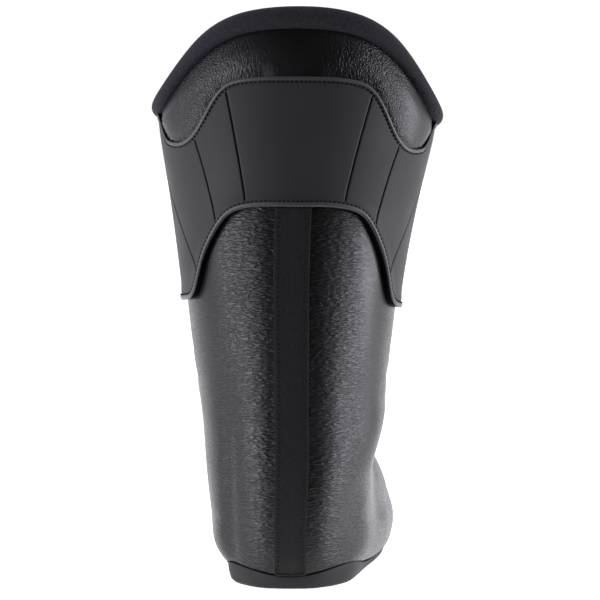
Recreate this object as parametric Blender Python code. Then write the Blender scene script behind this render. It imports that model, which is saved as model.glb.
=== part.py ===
"""Liner of a ski boot, right foot: the padded inner boot, standing empty on its sole.

Metres, +Z up, +Y towards the toe, +X towards the outer side of the foot. The origin lies on the floor,
under the middle of the heel. All pieces are read from one form, the last: a tube of oval sections that
fan round the ankle, level in the shaft and upright in the foot. A place on it is a station, which counts
the sections from the collar (0) to the toe root (1) and the toe tip (2), and a turn, the angle round the
section from the back seam or the middle of the bottom, positive on the outer side.
"""

import math
from typing import NamedTuple

import bmesh
import bpy
import numpy as np

MM = 0.001

# Driving sizes
LENGTH = 283 * MM
BALL_WIDTH = 103 * MM
INSTEP_HEIGHT = 98 * MM
SHAFT_HEIGHT = 311 * MM
CUFF_WIDTH = 151 * MM
HEEL_CENTRE = 36 * MM

# Walls and clearances
SHAFT_WALL = 8 * MM
FOOT_WALL = 5 * MM
SOLE_THICKNESS = 4.5 * MM
SOLE_FRONT_THICKNESS = 3 * MM
INSOLE_THICKNESS = 3 * MM
TONGUE_THICKNESS = 7 * MM
PANEL_THICKNESS = 2 * MM
STRIP_THICKNESS = 1 * MM
STRIP_WIDTH_TOP = 19.4 * MM
STRIP_WIDTH_HEEL = 16.5 * MM
GAP = 0.3 * MM
NEST_GAP = 0.5 * MM
SOFT_GAP = 1.3 * MM
FEATHER_GAP = 0.7 * MM

# Feather line, where the sole meets the upper: a cup round the heel, then a low edge along the foot
FEATHER_HEEL_HEIGHT = 13.5 * MM
FEATHER_FRONT_HEIGHT = 3.6 * MM
FEATHER_NOTCH_DEPTH = 7 * MM
FEATHER_NOTCH_WIDTH = 27 * MM
HEEL_CUP_START = 20 * MM
HEEL_CUP_END = 85 * MM

# Sole: how far its rounded edge runs in, generally and at the heel's sides, and where arch and spring lie
EDGE_INSET = 1.5 * MM
HEEL_SIDE_INSET = 4 * MM
ARCH_RISE = 4 * MM
ARCH_START = 0.24
ARCH_END = 0.58
SPRING_START = 0.74

# Throat: half its opening at the collar and over the instep
THROAT_HALF_TOP = 34 * MM
THROAT_HALF_INSTEP = 25 * MM
TONGUE_OVERLAP = math.radians(13)
TONGUE_TOP_HEIGHT = 280 * MM
PANEL_FRONT_TURN = math.radians(138)

# Toe: how bluntly it closes, its drop, spring, drift inwards and forward roundness
TOE_BLUNTNESS = 2.5
TOE_TOP_HEIGHT = 46 * MM
TOE_SPRING = 5 * MM
TOE_DRIFT = -8 * MM
TOE_ROUNDING = 17 * MM


class Section(NamedTuple):
    """One section of the last. It lies between a back and a front point in the side view."""

    back_y: float
    back_z: float
    front_y: float
    front_z: float
    middle_x: float
    lateral: float
    medial: float
    belly: float
    front_round: float
    back_round: float


# Shaft sections: y as shares of LENGTH, z of SHAFT_HEIGHT, half widths and middle of CUFF_WIDTH.
# belly is how far from front to back the section is widest. A round of 1 is an oval, less is squarer.
SHAFT_TABLE = {
    #             back_y back_z front_y front_z middle lateral medial belly front back
    "rim":       (0.161, 1.030, 0.622,  0.900,  0.036, 0.538,  0.538, 0.52, 1.00, 1.00),
    "cuff":      (0.134, 0.855, 0.594,  0.765,  0.026, 0.507,  0.507, 0.52, 1.00, 1.00),
    "calf":      (0.106, 0.700, 0.558,  0.637,  0.014, 0.447,  0.447, 0.50, 1.00, 1.00),
    "shin":      (0.074, 0.540, 0.523,  0.500,  0.004, 0.396,  0.395, 0.48, 0.96, 0.98),
    "ankle_top": (0.050, 0.400, 0.491,  0.408,  0.004, 0.366,  0.366, 0.46, 0.92, 0.97),
    "ankle":     (0.037, 0.302, 0.481,  0.367,  0.004, 0.348,  0.346, 0.45, 0.90, 0.96),
    "heel_top":  (0.012, 0.193, 0.478,  0.344,  0.003, 0.340,  0.326, 0.44, 0.90, 0.96),
}
# Foot sections: y as shares of LENGTH, z of INSTEP_HEIGHT, half widths and middle of BALL_WIDTH.
FOOT_TABLE = {
    "heel":      (0.000, 0.337, 0.479,  1.045,  0.000, 0.450,  0.462, 0.44, 0.90, 0.95),
    "heel_edge": (0.006, 0.090, 0.484,  1.010,  0.000, 0.438,  0.446, 0.46, 0.90, 0.90),
    "heel_seat": (0.050, -0.012, 0.491, 0.985,  0.000, 0.442,  0.430, 0.49, 0.90, 0.80),
    "heel_front": (0.155, -0.012, 0.498, 0.968, 0.000, 0.456,  0.404, 0.56, 0.90, 0.64),
    "waist":     (0.260, -0.012, 0.506, 0.950,  0.000, 0.494,  0.398, 0.64, 0.91, 0.53),
    "midfoot":   (0.400, -0.016, 0.527, 0.908,  0.000, 0.533,  0.408, 0.73, 0.92, 0.47),
    "instep":    (0.520, -0.016, 0.567, 0.845,  0.000, 0.558,  0.430, 0.77, 0.90, 0.45),
    "ball":      (0.620, -0.012, 0.640, 0.755,  0.000, 0.566,  0.440, 0.77, 0.86, 0.45),
    "toe_root":  (0.724, -0.012, 0.731, 0.673, -0.010, 0.548,  0.442, 0.70, 0.80, 0.45),
}

# Heights over the floor, in millimetres, against the turn from the back seam, in degrees.
# On the outer side they fall by OUTER_FALL, on the inner side they rise by it.
COLLAR_LINE = (
    (0, 311), (10, 310.6), (18, 309.2), (28, 306), (38, 300.1), (48, 291.2), (57, 281.1),
    (67, 271.1), (78, 263.5), (90, 259.6), (110, 256), (160, 251),
)
BINDING_LINE = (
    (0, 298), (14, 297), (28, 292.8), (39, 285), (52, 273), (65, 262), (78, 254.6),
    (90, 250.4), (110, 246.8), (160, 241.4),
)
PANEL_TOP_LINE = (
    (0, 271.8), (20, 271), (28.5, 268.8), (35, 262.5), (41, 251), (48.5, 240.3), (56, 235.7),
    (66, 235.4), (74, 237.6), (79, 242.6), (84, 247.6), (92, 248.5), (110, 245.4), (160, 240),
)
PANEL_FOOT_LINE = (
    (0, 202.8), (20, 202.4), (27, 201), (32.6, 198.6), (37.6, 193.5), (43, 185.5), (51, 173.5),
    (55.6, 163.5), (59, 155.8), (64.5, 151.4), (74, 149.8), (100, 148.5), (160, 146),
)
PANEL_FOOT_SHIFT = math.radians(1.8)
OUTER_FALL = 2.3 * MM

# Round of the binding: how far up it, and how far outside the wall's outer face in millimetres
BINDING_ROUND = (
    (0.00, 0.4), (0.25, 1.3), (0.60, 1.1), (0.87, -0.9), (1.00, -3.8), (0.87, -6.6),
    (0.60, -7.9), (0.25, -8.0), (0.00, -7.9),
)

# How much further out the binding stands at the sides and the front than at the back
BINDING_SIDE_SWELL = 2.8

# How finely the pieces are divided
SIDE_COLUMNS = 18
HEEL_COLUMNS = 6
SHAFT_ROWS = 12
HEEL_ROWS = 9
FOOT_ROWS = 10
TOE_ROWS = 7
EDGE_STEPS = 3
BOTTOM_COLUMNS = 4
PANEL_COLUMNS = 25
PANEL_ROWS = 6
STRIP_ROWS = 33
TONGUE_COLUMNS = 6
TONGUE_ROWS = 9

LEATHER = ("liner_leather", (0.020, 0.020, 0.022), 0.42)
RUBBER_SKIN = ("cuff_skin", (0.045, 0.045, 0.047), 0.55)
KNIT = ("collar_knit", (0.012, 0.012, 0.017), 0.92)
TAPE = ("woven_tape", (0.012, 0.012, 0.012), 0.80)
SOLE_SKIN = ("sole_skin", (0.055, 0.055, 0.057), 0.62)
FOOTBED = ("footbed_felt", (0.060, 0.060, 0.062), 0.95)


def last_table():
    """The sections in metres, one row each, collar first."""
    shaft = np.array([SHAFT_TABLE[name] for name in SHAFT_TABLE])
    foot = np.array([FOOT_TABLE[name] for name in FOOT_TABLE])
    along = [LENGTH, SHAFT_HEIGHT] * 2 + [CUFF_WIDTH] * 3
    on_foot = [LENGTH, INSTEP_HEIGHT] * 2 + [BALL_WIDTH] * 3
    shapes = [1.0] * 3
    return np.vstack([shaft * (along + shapes), foot * (on_foot + shapes)])


LAST = last_table()


def section_stations():
    """Where each section of the table lies, by the distance between the middles of neighbours."""
    middles = (LAST[:, 0:2] + LAST[:, 2:4]) / 2
    steps = np.linalg.norm(np.diff(middles, axis=0), axis=1)
    travelled = np.concatenate([[0], np.cumsum(steps)])
    return travelled / travelled[-1]


STATIONS = section_stations()


def station_of(name):
    """The station of a section in the tables."""
    return float(STATIONS[(list(SHAFT_TABLE) + list(FOOT_TABLE)).index(name)])


ANKLE_STATION = station_of("ankle")
THROAT_END = station_of("instep") + 0.3 * (station_of("ball") - station_of("instep"))


def smooth_between(knots, values, at):
    """Values between knots on a cubic through them, each slope taken from the two neighbours."""
    slopes = np.gradient(values, knots, axis=0)
    i = int(np.clip(np.searchsorted(knots, at) - 1, 0, len(knots) - 2))
    span = knots[i + 1] - knots[i]
    t = (at - knots[i]) / span
    return (
        (2 * t**3 - 3 * t**2 + 1) * values[i]
        + (t**3 - 2 * t**2 + t) * span * slopes[i]
        + (3 * t**2 - 2 * t**3) * values[i + 1]
        + (t**3 - t**2) * span * slopes[i + 1]
    )


def line_height(line, turn):
    """Height over the floor of a collar or panel line, in metres, at a turn. The outer side lies lower."""
    table = np.array(line, float)
    height = float(smooth_between(table[:, 0], table[:, 1], abs(math.degrees(turn)))) * MM
    return height - OUTER_FALL * math.sin(turn) * abs(math.sin(turn))


def section_at(station):
    """The section and its forward bow at a station. Past the toe root it closes round the toe."""
    if station <= 1:
        return Section(*smooth_between(STATIONS, LAST, station)), 0.0
    root = Section(*LAST[-1])
    closing = (station - 1) * math.pi / 2
    reach = math.sin(closing) ** (2 / TOE_BLUNTNESS)
    narrowing = max(math.cos(closing), 0.0) ** (2 / TOE_BLUNTNESS)
    tip_y = LENGTH - TOE_ROUNDING
    section = root._replace(
        back_y=root.back_y + (tip_y - root.back_y) * reach,
        back_z=root.back_z + (TOE_SPRING - root.back_z) * reach**2,
        front_y=root.front_y + (tip_y - root.front_y) * reach,
        front_z=root.front_z + (TOE_TOP_HEIGHT - root.front_z) * reach,
        middle_x=root.middle_x + TOE_DRIFT * reach**2,
        lateral=root.lateral * narrowing,
        medial=root.medial * narrowing,
    )
    return section, TOE_ROUNDING * reach**3


def form_point(station, turn):
    """A point on the outside of the last."""
    section, bow = section_at(station)
    back_share, side = math.cos(turn), math.sin(turn)
    half = section.lateral if side > 0 else section.medial
    if back_share >= 0:
        roundness = section.back_round
        share = section.belly + (1 - section.belly) * back_share**roundness
    else:
        roundness = section.front_round
        share = section.belly * (1 - (-back_share) ** roundness)
    x = section.middle_x + math.copysign(half * abs(side) ** roundness, side)
    front = np.array([section.front_y, section.front_z])
    chord = np.array([section.back_y, section.back_z]) - front
    forward = np.array([-chord[1], chord[0]]) / np.linalg.norm(chord)
    y, z = front + chord * share + forward * bow * 4 * share * (1 - share)
    return np.array([x, y, max(z, 0.0)])


def form_normal(station, turn):
    """The outward direction of the last at a place."""
    step = 0.004
    low, high = max(station - step, 0), min(station + step, 2)
    around = form_point(station, turn + step) - form_point(station, turn - step)
    onward = form_point(high, turn) - form_point(low, turn)
    normal = np.cross(onward, around)
    length = np.linalg.norm(normal)
    return normal / length if length > 0 else np.array([0.0, 1.0, 0.0])


def lifted(station, turn, offset):
    """A point at a distance from the last, outwards where positive."""
    return form_point(station, turn) + offset * form_normal(station, turn)


def bisect(is_low, low, high):
    """The value between low and high where is_low stops being true."""
    for _ in range(40):
        middle = (low + high) / 2
        if is_low(middle):
            low = middle
        else:
            high = middle
    return (low + high) / 2


def station_at_height(turn, height):
    """The station, from the collar down to the heel, where the last has this height at a turn."""
    return bisect(lambda s: form_point(s, turn)[2] > height, 0.0, station_of("heel_seat"))


def bottom_height(x, y):
    """Height of the underside: flat under heel and ball, an arch on the inner side, a spring at the toe."""
    arch_share = (y / LENGTH - ARCH_START) / (ARCH_END - ARCH_START)
    arch = math.sin(math.pi * min(max(arch_share, 0), 1)) ** 2
    inner_side = min(max(0.5 - x / BALL_WIDTH, 0), 1)
    spring = max(y / LENGTH - SPRING_START, 0) / (1 - SPRING_START)
    return ARCH_RISE * arch * inner_side + TOE_SPRING * spring**2


def heel_share(y):
    """1 round the heel, falling smoothly to 0 where the cup of the sole ends."""
    t = min(max((y - HEEL_CUP_START) / (HEEL_CUP_END - HEEL_CUP_START), 0), 1)
    return 1 - t * t * (3 - 2 * t)


def floor_height(x, y):
    """Height of the sole's inner floor."""
    thinning = (SOLE_THICKNESS - SOLE_FRONT_THICKNESS) * heel_share(y)
    return bottom_height(x, y) + SOLE_FRONT_THICKNESS + thinning


def feather_height(x, y):
    """Height of the feather line: a cup at the heel, notched at the back seam, and low along the foot."""
    notch = FEATHER_NOTCH_DEPTH * math.exp(-((x / FEATHER_NOTCH_WIDTH) ** 2))
    cup = FEATHER_HEEL_HEIGHT - FEATHER_FRONT_HEIGHT - notch
    return bottom_height(x, y) + FEATHER_FRONT_HEIGHT + cup * heel_share(y)


def below_feather(station, turn, lift):
    """Whether a place lies under the feather line."""
    x, y, z = form_point(station, turn)
    return z < feather_height(x, y) + lift


def feather_turn(station, side, lift):
    """The turn of the feather line on one side, 0 where the section lies all above it."""
    if not below_feather(station, 0.0, lift):
        return 0.0
    return bisect(lambda turn: below_feather(station, side * turn, lift), 0.0, math.pi / 2)


def feather_station(turn, lift):
    """The station where the feather line crosses a turn at the heel."""
    top, seat = station_of("heel_top"), station_of("heel_seat")
    return bisect(lambda station: not below_feather(station, turn, lift), top, seat)


def feather_places(side, lift):
    """Stations and turns along the feather line on one side, from the back seam round the heel to the toe tip."""
    corner = feather_turn(station_of("heel_seat"), side, lift)
    around = [side * turn for turn in between(0, corner, HEEL_COLUMNS)]
    places = [(feather_station(turn, lift), turn) for turn in around]
    return places + [(station, side * feather_turn(station, side, lift)) for station in foot_stations()]


def throat_turn(station):
    """The turn of the throat's edge, half a turn where the vamp is closed."""
    if station >= THROAT_END:
        return math.pi
    closing = max(station - ANKLE_STATION, 0) / (THROAT_END - ANKLE_STATION)
    opening = max(ANKLE_STATION - station, 0) / ANKLE_STATION
    widening = (THROAT_HALF_TOP - THROAT_HALF_INSTEP) * opening
    half = THROAT_HALF_INSTEP * math.sqrt(1 - closing**3) + widening
    section, _ = section_at(station)
    share = min(half / min(section.lateral, section.medial), 1.0)
    return math.pi - math.asin(share ** (1 / section.front_round))


def wall_share(station):
    """Thickness of the upper as a share of the shaft's: it thins from the ankle to the waist."""
    t = min(max((station - ANKLE_STATION) / (station_of("waist") - ANKLE_STATION), 0), 1)
    return 1 + (FOOT_WALL / SHAFT_WALL - 1) * t


def between(low, high, count):
    """Even steps from low to high, both included."""
    return [low + (high - low) * i / count for i in range(count + 1)]


def heel_stations(end):
    """Stations from the ankle down the heel."""
    return between(ANKLE_STATION, end, HEEL_ROWS)


def foot_stations():
    """Stations past the seat of the heel: along the foot and round the toe."""
    return between(station_of("heel_seat"), 1, FOOT_ROWS)[1:] + between(1, 2, TOE_ROWS)[1:]


def new_piece(name, mesh, finish):
    """Links a mesh as a named piece of the liner, with its finish."""
    label, colour, roughness = finish
    material = bpy.data.materials.get(label) or bpy.data.materials.new(label)
    material.use_nodes = True
    shader = material.node_tree.nodes["Principled BSDF"]
    shader.inputs["Base Color"].default_value = (*colour, 1)
    shader.inputs["Roughness"].default_value = roughness
    shader.inputs["Metallic"].default_value = 0.0
    mesh.materials.append(material)
    piece = bpy.data.objects.new(name, mesh)
    bpy.data.collections["ski_boot_liner"].objects.link(piece)
    piece.parent = bpy.data.objects["last_origin"]
    return piece


def layers(station, turn, outer, inner, level=False):
    """A place on a shell's outer and inner face, by their distances from the last, level if stated."""
    point, normal = form_point(station, turn), form_normal(station, turn)
    if level:
        normal = normal * (1, 1, 0) / math.hypot(normal[0], normal[1])
    return tuple(point + outer * normal), tuple(point + inner * normal)


def shell(name, grids, finish):
    """A closed shell through grids of layers, welded where they meet. Columns run with the turn."""
    bm = bmesh.new()
    corners = {}
    rims = {}

    def corner(place):
        key = tuple(round(value, 5) for value in place[0])
        if key not in corners:
            corners[key] = (bm.verts.new(place[0]), bm.verts.new(place[1]))
        return key

    for rows in grids:
        keys = [[corner(place) for place in row] for row in rows]
        for here, onward in zip(keys, keys[1:]):
            for j in range(len(here) - 1):
                loop = list(dict.fromkeys((here[j], onward[j], onward[j + 1], here[j + 1])))
                if len(loop) < 3:
                    continue
                bm.faces.new([corners[key][0] for key in loop])
                bm.faces.new([corners[key][1] for key in reversed(loop)])
                for start, end in zip(loop, loop[1:] + loop[:1]):
                    rims[start, end] = True
    for start, end in rims:
        if (end, start) not in rims:
            bm.faces.new((corners[end][0], corners[start][0], corners[start][1], corners[end][1]))
    mesh = bpy.data.meshes.new(name)
    bm.to_mesh(mesh)
    bm.free()
    mesh.shade_smooth()
    return new_piece(name, mesh, finish)


def upper_column(index, side):
    """Places down one column of the upper, from its cut edge to the feather line at the heel or on to the toe tip."""
    seat, share = station_of("heel_seat"), index / SIDE_COLUMNS
    corner = feather_turn(seat, side, FEATHER_GAP)
    behind, beyond = index / HEEL_COLUMNS, (index - HEEL_COLUMNS) / (SIDE_COLUMNS - HEEL_COLUMNS)
    edge = collar_edge(side * share)
    end = feather_station(side * corner * behind, FEATHER_GAP) if behind < 1 else seat
    stations = between(edge, ANKLE_STATION, SHAFT_ROWS)[:-1] + heel_stations(end)
    column = []
    for station in stations + (foot_stations() if behind >= 1 else []):
        first = feather_turn(station, side, FEATHER_GAP) if station > seat else corner
        last = throat_turn(station)
        settled = corner * behind if behind < 1 else first + (last - first) * beyond
        drop = min((station - edge) / (ANKLE_STATION - edge), 1)
        turn = side * (last * share * (1 - drop) + settled * drop)
        low = below_feather(station, turn, 4 * FEATHER_GAP)
        on_feather = behind <= 1 and station > ANKLE_STATION and low
        wall = FOOT_WALL if on_feather else SHAFT_WALL * wall_share(station)
        column.append(layers(station, turn, 0.0, -wall, on_feather))
    return column


def side_grids(side):
    """Rows of one side of the upper: behind, down to the heel's feather line, and beyond, on to the toe tip."""
    columns = [upper_column(index, side) for index in range(SIDE_COLUMNS + 1)]
    parts = columns[: HEEL_COLUMNS + 1], columns[HEEL_COLUMNS:]
    return [list(zip(*part[::side])) for part in parts]


def collar_edge(share):
    """Station of the upper's cut edge under the binding, from -1 at the inner throat to 1 at the outer."""
    turn = share * throat_turn(0.0)
    return station_at_height(turn, line_height(BINDING_LINE, turn))


def make_upper():
    """The padded wall of shaft and foot, open at collar, throat and underneath."""
    return shell("upper", side_grids(-1) + side_grids(1), LEATHER)


def edge_places(station, turn):
    """Outer and inner points of the sole's edge at a place, from the feather line down to the flat."""
    feather, normal = form_point(station, turn), form_normal(station, turn)
    inwards = -normal * (1, 1, 0) / math.hypot(normal[0], normal[1])
    if station == 2 or turn == 0:
        inwards = np.array([0.0, -1.0 if station == 2 else 1.0, 0.0])
    heel_side = inwards[0] ** 2 * heel_share(feather[1])
    reach = EDGE_INSET + (HEEL_SIDE_INSET - EDGE_INSET) * heel_side
    places = []
    for quarter in between(0, math.pi / 2, EDGE_STEPS):
        inset, fall = 1 - math.cos(quarter), math.sin(quarter)
        outer = feather + inwards * reach * inset
        inner = feather + inwards * (SOLE_THICKNESS + reach * inset)
        under = bottom_height(outer[0], outer[1])
        floor = floor_height(inner[0], inner[1])
        outer[2] += (under - feather[2]) * fall
        inner[2] += (floor - feather[2]) * fall
        places.append((tuple(outer), tuple(inner)))
    return places


def across(start, end, height, lift):
    """Points between two places, raised by a lift over the underside or the floor, both ends left out."""
    points = []
    for share in between(0, 1, BOTTOM_COLUMNS)[1:-1]:
        x, y = start[0] + (end[0] - start[0]) * share, start[1] + (end[1] - start[1]) * share
        points.append((x, y, height(x, y) + lift))
    return points


def make_sole():
    """The bottom: a tray with a rounded edge up to the feather line."""
    rows = []
    for inner_side, outer_side in zip(feather_places(-1, 0.0), feather_places(1, 0.0)):
        medial, lateral = edge_places(*inner_side), edge_places(*outer_side)
        under = across(medial[-1][0], lateral[-1][0], bottom_height, 0.0)
        floor = across(medial[-1][1], lateral[-1][1], floor_height, 0.0)
        rows.append(medial + list(zip(under, floor)) + lateral[::-1])
    return shell("sole", [rows], SOLE_SKIN)


def make_insole():
    """The footbed, which lies on the floor of the sole, clear of the wall."""
    rows = []
    for inner_side, outer_side in list(zip(feather_places(-1, 0.0), feather_places(1, 0.0)))[4:-1]:
        start, end = edge_places(*inner_side)[-1][1], edge_places(*outer_side)[-1][1]
        low = across(start, end, floor_height, GAP)
        high = across(start, end, floor_height, GAP + INSOLE_THICKNESS)
        first, last = (*start[:2], start[2] + GAP), (*end[:2], end[2] + GAP)
        tops = [(x, y, z + INSOLE_THICKNESS) for x, y, z in (first, last)]
        rows.append([(first, tops[0])] + list(zip(low, high)) + [(last, tops[1])])
    return shell("insole", [rows], FOOTBED)


def make_tongue():
    """The padded tongue inside the throat, from over the collar to under the vamp."""
    top = station_at_height(math.pi, TONGUE_TOP_HEIGHT)
    foot = THROAT_END + 0.04
    shaft = between(top, ANKLE_STATION, TONGUE_ROWS)[:-1]
    onward = [station for station in foot_stations() if station < foot]
    rows = []
    for station in shaft + heel_stations(station_of("heel_seat")) + onward + [foot]:
        depth = -SHAFT_WALL * wall_share(station) - SOFT_GAP
        half = math.pi - throat_turn(min(station, THROAT_END - 0.01)) + TONGUE_OVERLAP
        turns = between(math.pi - half, math.pi + half, 2 * TONGUE_COLUMNS)
        rows.append([layers(station, turn, depth, depth - TONGUE_THICKNESS) for turn in turns])
    return shell("tongue", [rows], LEATHER)


def make_cuff_panel():
    """The overlay round the back and sides of the cuff."""
    columns = []
    for turn in between(-PANEL_FRONT_TURN, PANEL_FRONT_TURN, 2 * PANEL_COLUMNS):
        top = station_at_height(turn, line_height(PANEL_TOP_LINE, turn))
        foot = station_at_height(turn, line_height(PANEL_FOOT_LINE, turn - PANEL_FOOT_SHIFT))
        stations = between(top, foot, PANEL_ROWS)
        columns.append([layers(station, turn, GAP + PANEL_THICKNESS, GAP) for station in stations])
    return shell("cuff_panel", [list(zip(*columns))], RUBBER_SKIN)


def make_back_strip():
    """The tape over the back seam, from the panel to the feather line."""
    columns = []
    top = station_at_height(0.0, line_height(PANEL_FOOT_LINE, 0.0) - 2 * GAP)
    for share in (-1, -0.5, 0, 0.5, 1):
        column = []
        foot = station_at_height(0.0, FEATHER_HEEL_HEIGHT - FEATHER_NOTCH_DEPTH + FEATHER_GAP + GAP)
        for i, station in enumerate(between(top, foot, STRIP_ROWS)):
            half = (STRIP_WIDTH_TOP + (STRIP_WIDTH_HEEL - STRIP_WIDTH_TOP) * i / STRIP_ROWS) / 2
            section, _ = section_at(station)
            turn = math.asin((abs(share) * half / section.medial) ** (1 / section.back_round))
            column.append(layers(station, math.copysign(turn, share), GAP + STRIP_THICKNESS, GAP))
        columns.append(column)
    return shell("back_strip", [list(zip(*columns))], TAPE)


def make_collar_binding():
    """The roll along the collar, swept round it with one rounded section."""
    bm = bmesh.new()
    loops = []
    for share in between(-1, 1, 2 * SIDE_COLUMNS):
        edge = collar_edge(share)
        turn = share * throat_turn(edge)
        foot = station_at_height(turn, form_point(edge, turn)[2] + NEST_GAP)
        top = station_at_height(turn, line_height(COLLAR_LINE, turn))
        swell = 1 + BINDING_SIDE_SWELL * math.sin(min(abs(turn), math.pi / 2)) ** 4
        loop = []
        for up, out in BINDING_ROUND:
            loop.append(lifted(foot + (top - foot) * up, turn, out * MM * (swell if out > 0 else 1)))
        loops.append([bm.verts.new(point) for point in loop])
    for here, onward in zip(loops, loops[1:]):
        for i in range(len(here)):
            j = (i + 1) % len(here)
            bm.faces.new((here[i], onward[i], onward[j], here[j]))
    bm.faces.new(loops[0])
    bm.faces.new(loops[-1][::-1])
    bmesh.ops.recalc_face_normals(bm, faces=bm.faces)
    mesh = bpy.data.meshes.new("collar_binding")
    bm.to_mesh(mesh)
    bm.free()
    mesh.shade_smooth()
    return new_piece("collar_binding", mesh, KNIT)


def main():
    for old in list(bpy.data.objects):
        bpy.data.objects.remove(old, do_unlink=True)
    bpy.context.scene.unit_settings.system = "METRIC"
    bpy.context.scene.unit_settings.length_unit = "MILLIMETERS"
    pieces = bpy.data.collections.new("ski_boot_liner")
    bpy.context.scene.collection.children.link(pieces)
    origin = bpy.data.objects.new("last_origin", None)
    origin.location = (0, -HEEL_CENTRE, 0)
    pieces.objects.link(origin)
    make_upper()
    make_sole()
    make_insole()
    make_tongue()
    make_cuff_panel()
    make_back_strip()
    make_collar_binding()


main()
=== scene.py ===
"""Looks of a ski boot liner, right foot: leather, moulded cuff skin, woven tape, knit collar and stitching.

Metres, +Z up, +Y towards the toe, +X towards the outer side of the foot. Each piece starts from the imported
solid that it stands for, is smoothed, gets its lips, grooves and creases as moved vertices, and then its
finish. A turn is an angle round the shaft's axis, from the back seam, positive on the outer side.
"""

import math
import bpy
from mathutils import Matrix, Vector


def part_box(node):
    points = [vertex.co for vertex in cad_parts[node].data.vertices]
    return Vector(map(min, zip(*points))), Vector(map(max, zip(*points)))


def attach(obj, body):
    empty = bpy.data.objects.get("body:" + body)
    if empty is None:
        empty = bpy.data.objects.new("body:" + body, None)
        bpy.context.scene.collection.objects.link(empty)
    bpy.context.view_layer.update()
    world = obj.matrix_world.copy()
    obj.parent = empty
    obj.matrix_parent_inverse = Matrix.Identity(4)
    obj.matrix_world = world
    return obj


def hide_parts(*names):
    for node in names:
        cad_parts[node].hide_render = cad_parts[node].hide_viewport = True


bl_info = {
    "name": "Ski boot liner looks",
    "version": (1, 0, 0),
    "blender": (4, 5, 0),
    "location": "View3D > Sidebar > Liner",
    "description": "Dresses the packed liner in leather, cuff skin, tape and knit, and sets up its studio",
    "category": "Object",
}

import bmesh
import bpy
import numpy as np
from mathutils import Vector
from mathutils.bvhtree import BVHTree
from mathutils.kdtree import KDTree

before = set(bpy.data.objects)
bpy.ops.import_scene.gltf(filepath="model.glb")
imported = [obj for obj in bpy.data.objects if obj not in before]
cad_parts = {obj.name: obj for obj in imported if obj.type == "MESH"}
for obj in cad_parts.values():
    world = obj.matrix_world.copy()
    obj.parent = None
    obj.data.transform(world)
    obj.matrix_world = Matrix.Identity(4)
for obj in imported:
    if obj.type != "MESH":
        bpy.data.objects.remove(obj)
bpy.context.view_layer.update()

MM = 0.001
SHOWN, REST = 0, 1
# A share that every face's direction passes, so that all faces are SHOWN
ALL_SHOWN = -2.0

# Height that parts the cuff panel's upper edge, and the padded band over it, from its lower edge
CUFF_MIDDLE = 0.22
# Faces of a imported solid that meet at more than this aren't joined to quads
SHARP_TURN = math.radians(62)
# Edges of most pieces that are sharper than this are held when the piece is smoothed
EDGE_TURN = math.radians(50)
# A line that is pressed or raised with soft edges is this many times its named width
SOFT_EDGES = 1.6
# Share of the tread's pitch that the valley between two ribs takes
TREAD_VALLEY = 0.7
# A stitch's middle lies over the cloth by this share of its thread's width
STITCH_LIFT = 0.22
# Nearly all of a noise's values lie between these two
NOISE_LOW, NOISE_HIGH = 0.3, 0.7

# Middle of the hollow, from the collar down and along the foot. The first two points give the shaft's axis
MIDDLE_LINE = np.array(
    [
        (0.005, 0.075, 0.300),
        (0.001, 0.041, 0.125),
        (0.001, 0.030, 0.055),
        (0.004, 0.100, 0.036),
        (0.000, 0.210, 0.028),
    ]
)

# Fan of grooves pressed into the cuff panel: turn in degrees and height in millimetres at top and foot
CUFF_GROOVES = {
    #               top          foot
    "inner_back": ((-33.6, 267.0), (-23.0, 202.0)),
    "outer_back": ((35.0, 265.5), (22.7, 202.5)),
    "inner_side": ((-51.8, 241.5), (-39.8, 195.5)),
    "outer_side": ((53.0, 239.0), (41.9, 195.5)),
    "inner_front": ((-104.0, 246.0), (-55.0, 168.5)),
    "outer_front": ((104.0, 243.0), (56.0, 166.0)),
}
CUFF_TICKS = {
    "top": ((0.0, 272.0), (0.0, 267.0)),
    "foot": ((0.0, 206.5), (0.0, 203.5)),
}

# Turn in degrees up to which the cuff panel's upper edge is read, and the turns over which it nears the roll
PANEL_TURN = 136
WING_TURNS = (72, 82)

# Flex creases over the ankle, in millimetres: height at the throat's edge, run to the back, depth and width
ANKLE_CREASES = {
    #         height run depth width
    "upper": (133.0, 46.0, 1.1, 5.0),
    "middle": (118.0, 58.0, 1.5, 6.0),
    "lower": (104.0, 48.0, 1.2, 5.5),
}

# Along the foot, a crease begins its run behind the start, is full at the front, and climbs by a share
CREASE_START = 0.07
CREASE_FRONT = 0.085
CREASE_CLIMB = 0.18

# Soft valleys along the stiffened heel: turn in degrees, then foot, top, depth and width in millimetres
HEEL_VALLEYS = {
    #         turn   foot  top    depth width
    "inner": (-37.0, 16.0, 150.0, 1.5, 42.0),
    "outer": (42.0, 16.0, 150.0, 1.4, 46.0),
    "counter": (-40.0, 13.0, 105.0, 1.3, 19.0),
}

# Where the leather changes, by the distance from the liner's middle in millimetres
GRAIN_ZONES = {
    #                from to
    "band_pebbled": (26, 46),
    "band_risen": (8, 46),
    "band_tight": (58, 68),
    "shaft_tight": (33, 44),
    "shaft_sleek": (28, 40),
}

# Inputs of the shader that a finish sets to a plain value
FINISH_INPUTS = {
    "specular": "Specular IOR Level",
    "sheen": "Sheen Weight",
    "sheen_roughness": "Sheen Roughness",
    "sheen_tint": "Sheen Tint",
}

# Twill of the tape: where its herringbone turns, how steeply its ribs climb, and its pitches
TWILL_MIDDLE = 1.3 * MM
TWILL_SLANT = 1.25
TWILL_PITCH = 1.6 * MM
YARN_PITCH = 0.62 * MM

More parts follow.
